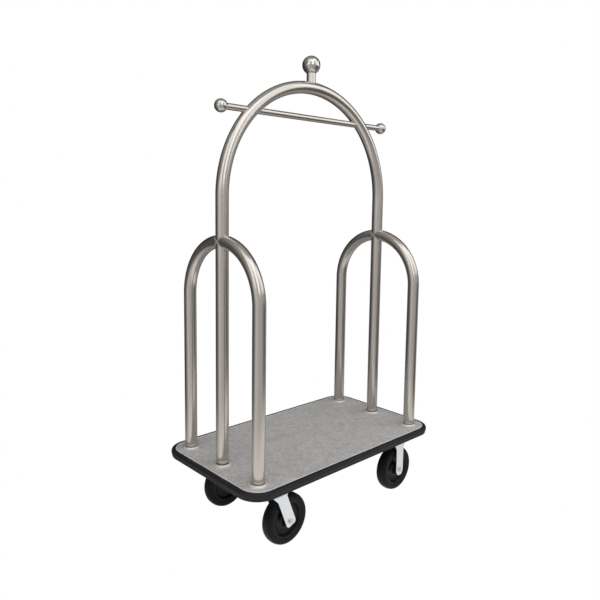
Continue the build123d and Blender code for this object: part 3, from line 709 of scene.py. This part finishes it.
def make_carpet():
    """Needle-punched sheet: a fine grid with felted relief, tucked in at its edge."""
    pitch = CARPET_PITCH
    count_x, count_y = round(2 * CARPET.x / pitch), round(2 * CARPET.y / pitch)
    reach = Vector((CARPET.x - BOARD_CORNER, CARPET.y - BOARD_CORNER))

    def inside(x, y):
        """Distance in from the edge, and the nearest point that isn't past it."""
        over = Vector((max(abs(x) - reach.x, 0.0), max(abs(y) - reach.y, 0.0)))
        if over.x > 0 and over.y > 0:
            gap = BOARD_CORNER - over.length
            if gap < 0:
                over = over * (BOARD_CORNER / over.length)
                x = math.copysign(reach.x + over.x, x)
                y = math.copysign(reach.y + over.y, y)
            return gap, x, y
        return min(CARPET.x - abs(x), CARPET.y - abs(y)), x, y

    bm = bmesh.new()
    grid = {}
    for i in range(count_x + 1):
        for j in range(count_y + 1):
            gap, x, y = inside(-CARPET.x + i * pitch, -CARPET.y + j * pitch)
            if gap < -pitch:
                continue
            felt = noise.noise(Vector((x * 160, y * 160, 0.5)))
            lumps = noise.noise(Vector((x * 45, y * 45, 7.5)))
            tuck = max(0.0, 1 - max(gap, 0.0) / TUCK_WIDTH) ** 2
            z = DECK_TOP - PILE_DROP + FELT_HEIGHT * felt + LUMP_HEIGHT * lumps - TUCK_DEPTH * tuck
            grid[i, j] = bm.verts.new((x, y, z))
    for i in range(count_x):
        for j in range(count_y):
            cell = [grid.get(k) for k in ((i, j), (i + 1, j), (i + 1, j + 1), (i, j + 1))]
            if None in cell:
                continue
            middle = sum((v.co for v in cell), Vector()) / 4
            if any((middle.xy - Vector(p)).length < FLANGE_R - 4 * MM for p in POSTS):
                continue
            bm.faces.new(cell)
    bmesh.ops.remove_doubles(bm, verts=bm.verts, dist=1e-6)
    bmesh.ops.delete(bm, geom=[v for v in bm.verts if not v.link_faces], context="VERTS")
    under = bmesh.ops.extrude_face_region(bm, geom=bm.faces[:])
    for v in under["geom"]:
        if isinstance(v, bmesh.types.BMVert):
            v.co.z = BOARD_TOP + 0.1 * MM
    outward(bm).normal_update()
    bm.faces.index_update()
    count = len(bm.faces)

    def fixed_order(face):
        """The extrusion makes the side faces in no fixed order, so they are put by bearing."""
        if abs(face.normal.z) > 0.5:
            return face.index
        middle = face.calc_center_median()
        return count + math.atan2(middle.y, middle.x)

    bm.faces.sort(key=fixed_order)
    piece("carpet_sheet", bm, "carpet", stands_for=("carpet",))


make_carpet()

# ---- wheels --------------------------------------------------------------------------
# sections are (radius, distance along the axle, rounding) in millimetres, for one half
TYRE_HALF = [
    (101.6, 0.9, 0.3),
    (101.2, 1.3, 0.3),
    (101.3, 9.0, 12.0),
    (97.6, 20.6, 10.0),
    (90.5, 24.6, 2.0),
    (86.6, 24.9, 0.6),
    (86.1, 24.4, 0.4),
    (84.2, 24.4, 0.4),
    (83.7, 24.9, 0.6),
    (76.6, 24.9, 1.2),
    (74.2, 23.2, 0),
    (78.0, 20.0, 0),
]
HUB_HALF = [
    (78.0, 20.0, 0),
    (74.2, 23.0, 1.0),
    (71.6, 23.0, 0.6),
    (71.0, 22.2, 0.4),
    (69.6, 22.2, 0.4),
    (69.0, 23.0, 0.6),
    (67.6, 23.0, 1.4),
    (64.6, 18.4, 3.0),
    (59.6, 8.2, 3.0),
    (55.2, 8.2, 1.0),
    (52.4, 10.8, 1.0),
    (46.6, 10.8, 1.0),
    (43.8, 8.2, 1.0),
    (31.0, 8.8, 4.0),
    (25.2, 13.6, 4.0),
    (22.2, 29.6, 1.2),
    (20.4, 31.8, 0.8),
    (14.7, 31.8, 0.5),
]


def both_halves(half):
    return [(r, w, f) for r, w, f in half] + [(r, -w, f) for r, w, f in reversed(half)]


for corner in CORNERS:
    low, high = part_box(f"{corner}_tyre")
    centre = (low + high) / 2
    for section, made, node, slot in (
        (TYRE_HALF, "rubber_tyre", "tyre", "tyre"),
        (HUB_HALF, "moulded_hub", "wheel_hub", "wheel_hub"),
    ):
        outline = rounded([(r * MM, w * MM, f * MM) for r, w, f in both_halves(section)], 5)
        bm, flows = bmesh.new(), []
        turned(bm, flows, outline, centre, Y, X, 128)
        name, body = f"{corner}_{made}", f"{corner}_wheel"
        piece(name, outward(bm), slot, body, stands_for=(f"{corner}_{node}",))

# ---- finishes on the CAD parts that stay ---------------------------------------------
EDGE_BREAK = {"zinc_plate": 0.9, "fastener": 0.5, "undercarriage": 0.7, "deck_board": 0.8}
OWN_FINISH = {"hanger_bar": "bar_steel", "finial_stem": "stem_steel"}
for name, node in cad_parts.items():
    if node.hide_render:
        continue
    width = None
    for index, material in enumerate(node.data.materials):
        slot = material.name.split(".")[0]
        if slot in look:
            node.data.materials[index] = look[OWN_FINISH.get(name, slot)]
            width = EDGE_BREAK.get(slot)
    if "race_balls" in name or "roller" in name:
        continue
    if width:
        weld = node.modifiers.new("weld", "WELD")
        weld.merge_threshold = 0.005 * MM
        flat = node.modifiers.new("flat", "DECIMATE")
        flat.decimate_type = "DISSOLVE"
        flat.angle_limit = math.radians(0.6)
        bevel = node.modifiers.new("edge", "BEVEL")
        bevel.width = width * MM
        bevel.segments = 2
        bevel.limit_method = "ANGLE"
        bevel.angle_limit = math.radians(35)
        bevel.use_clamp_overlap = True
        shade = node.modifiers.new("shade", "WEIGHTED_NORMAL")
        shade.keep_sharp = False

# ---- studio --------------------------------------------------------------------------
CAMERA_AT = Vector((-1.770, -1.827, 1.330))
YAW, PITCH, ROLL = (math.radians(a) for a in (42.53, 6.52, 0.69))
CAMERA_LENS, CAMERA_SHIFT = 35.435, (0.0130, -0.0493)
forward = Vector(
    (math.sin(YAW) * math.cos(PITCH), math.cos(YAW) * math.cos(PITCH), -math.sin(PITCH))
)
level = Vector((math.cos(YAW), -math.sin(YAW), 0))
upward = level.cross(forward)
right = math.cos(ROLL) * level + math.sin(ROLL) * upward
top = -math.sin(ROLL) * level + math.cos(ROLL) * upward
camera_data = bpy.data.cameras.new("camera")
camera_data.lens = CAMERA_LENS
camera_data.sensor_width = 36.0
camera_data.shift_x, camera_data.shift_y = CAMERA_SHIFT
camera = bpy.data.objects.new("camera", camera_data)
camera.matrix_world = Matrix(
    (
        (right.x, top.x, -forward.x, CAMERA_AT.x),
        (right.y, top.y, -forward.y, CAMERA_AT.y),
        (right.z, top.z, -forward.z, CAMERA_AT.z),
        (0, 0, 0, 1),
    )
)
bpy.context.scene.collection.objects.link(camera)
bpy.context.scene.camera = camera
bpy.context.scene.view_settings.view_transform = "Standard"

# The studio's axis is the side the camera stands on; bearings are degrees from it, seen
# from the cart, negative to the camera's left.
STUDIO = math.degrees(math.atan2(-forward.y, -forward.x))


def from_cart(bearing, elevation, distance, target):
    """The point that lies at this bearing, elevation and distance from target."""
    a, e = math.radians(STUDIO + bearing), math.radians(elevation)
    out = Vector((math.cos(a) * math.cos(e), math.sin(a) * math.cos(e), math.sin(e)))
    return target + out * distance


def softbox(name, bearing, elevation, distance, width, height, power, mirrored=True):
    """A rectangular light that faces the frame; mirrored shows it in reflections."""
    aim = Vector((0, 0, 1.2))
    data = bpy.data.lights.new(name, "AREA")
    data.shape = "RECTANGLE"
    data.size, data.size_y = width, height
    data.energy = power
    light = bpy.data.objects.new(name, data)
    place = from_cart(bearing, elevation, distance, aim)
    light.location = place
    light.rotation_euler = (place - aim).to_track_quat("Z", "Y").to_euler()
    light.visible_glossy = mirrored
    bpy.context.scene.collection.objects.link(light)


softbox("window_left", -29, 39, 4.0, 2.0, 4.6, 23)
softbox("window_middle", 19, 39, 4.0, 2.1, 4.6, 34)
softbox("window_side", 70, 39, 4.0, 2.5, 4.6, 33)
softbox("window_right", 101, 25, 4.0, 1.7, 2.5, 16)
softbox("overhead", 20, 80, 3.4, 3.0, 3.0, 14, mirrored=False)

# brightness round the studio, as (bearing, value)
WALLS = [
    (-180, 0.04),
    (-125, 0.06),
    (-88, 0.12),
    (-64, 0.44),
    (-46, 0.84),
    (-30, 0.72),
    (-12, 0.54),
    (50, 0.48),
    (90, 0.38),
    (125, 0.28),
    (155, 0.15),
    (180, 0.04),
]
# painted light on the floor, seen only in reflections and bounce: its glow round the studio near
# the cart, as (bearing, value)
NEAR_FLOOR_PAINTED_GLOW = [
    (-180, 0.30),
    (-100, 0.30),
    (-64, 0.60),
    (-40, 0.88),
    (45, 0.84),
    (98, 0.82),
    (130, 0.40),
    (180, 0.30),
]
# painted light on the floor further out, past 1.3 to 1.9 m, as (bearing, value)
FAR_FLOOR_PAINTED_GLOW = [
    (-180, 0.04),
    (-105, 0.08),
    (-80, 0.12),
    (-64, 0.34),
    (-46, 0.66),
    (-30, 0.64),
    (-12, 0.52),
    (50, 0.42),
    (78, 0.12),
    (98, 0.10),
    (114, 0.36),
    (155, 0.30),
    (180, 0.04),
]
# brightness above the walls, by how far a direction turns from the studio's upper front
CEILING = [(0.48, 0.03), (0.68, 0.22), (0.80, 0.30), (0.93, 0.46)]


def greys(add, factor, rows):
    """A ramp of slightly warm greys through (position, value) rows."""
    ramp = add("ValToRGB", {"Fac": factor})
    points = ramp.color_ramp.elements
    while len(points) < len(rows):
        points.new(0.5)
    for point, (position, value) in zip(points, rows):
        point.position = position
        point.color = (value, value * 0.985, value * 0.97, 1.0)
    return ramp.outputs["Color"]


def round_studio(add, vector, rows):
    """The brightness in rows, round the studio, from the direction or place vector."""
    parts = add("SeparateXYZ", {0: vector}).outputs
    turn = add("Math", {0: parts[1], 1: parts[0]}, operation="ARCTAN2").outputs[0]
    inputs = {0: turn, 1: 1 / TAU, 2: 0.5 - STUDIO / 360}
    share = add("Math", inputs, operation="MULTIPLY_ADD").outputs[0]
    share = add("Math", {0: share, 1: 1.0, 2: 0.0}, operation="WRAP").outputs[0]
    return greys(add, share, [(bearing / 360 + 0.5, value) for bearing, value in rows])


world = bpy.data.worlds.new("studio")
bpy.context.scene.world = world
world.use_nodes = True
tree = world.node_tree
tree.nodes.clear()


def world_node(kind, inputs=None, **settings):
    return add_node(tree, kind, inputs, **settings)


direction = world_node("TexCoord").outputs["Generated"]
walls = round_studio(world_node, direction, WALLS)
front = from_cart(0, 60, 1.0, Vector()) / 2
facing = world_node("VectorMath", {0: direction, 1: front}, operation="DOT_PRODUCT")
inputs = {0: facing.outputs["Value"], 1: 0.5}
share = world_node("Math", inputs, operation="ADD").outputs[0]
ceiling = greys(world_node, share, CEILING)
parts = world_node("SeparateXYZ", {0: direction}).outputs
inputs = {"Value": parts[2], "From Min": 0.14, "From Max": 0.34}
height = world_node("MapRange", inputs).outputs[0]
inputs = {0: height, 6: walls, 7: ceiling}
light = world_node("Mix", inputs, data_type="RGBA").outputs[2]
studio_light = world_node("Background", {0: light, 1: 1.0}).outputs[0]
backdrop = world_node("Background", {0: (1, 1, 1, 1), 1: 1.0}).outputs[0]
seen = world_node("LightPath").outputs["Is Camera Ray"]
shown = world_node("MixShader", {0: seen, 1: studio_light, 2: backdrop}).outputs[0]
world_node("OutputWorld", {0: shown})

# plain pale floor as the camera sees it; to reflections and bounce light it glows with a painted
# pool of light, brighter near the cart and by bearing
bm = bmesh.new()
bmesh.ops.create_grid(bm, x_segments=1, y_segments=1, size=14.0)
mesh = bpy.data.meshes.new("floor")
bm.to_mesh(mesh)
bm.free()
floor = bpy.data.objects.new("floor", mesh)
bpy.context.scene.collection.objects.link(floor)
g = Graph("pale_floor", Roughness=0.9)
ground = g.add("TexCoord").outputs["Object"]
reach = g.add("VectorMath", {0: ground}, operation="LENGTH").outputs["Value"]
away = g.spread(reach, 1.3, 1.9, 0.0, 1.0)
near, far = (round_studio(g.add, ground, rows) for rows in (NEAR_FLOOR_PAINTED_GLOW, FAR_FLOOR_PAINTED_GLOW))
# painted pool of light: the floor glows for every ray but the camera's, though it is no lamp
painted_light_pool = g.over(away, near, far)
lit = g.add("Emission", {"Color": painted_light_pool, "Strength": 1.0}).outputs[0]
white = g.add("Emission", {"Color": (1, 1, 1, 1), "Strength": 1.0}).outputs[0]
seen = g.add("LightPath").outputs["Is Camera Ray"]
mixed = g.add("MixShader", {0: seen, 1: lit, 2: white}).outputs[0]
output = g.tree.nodes["Material Output"]
g.tree.links.new(mixed, output.inputs["Surface"])
mesh.materials.append(g.material)
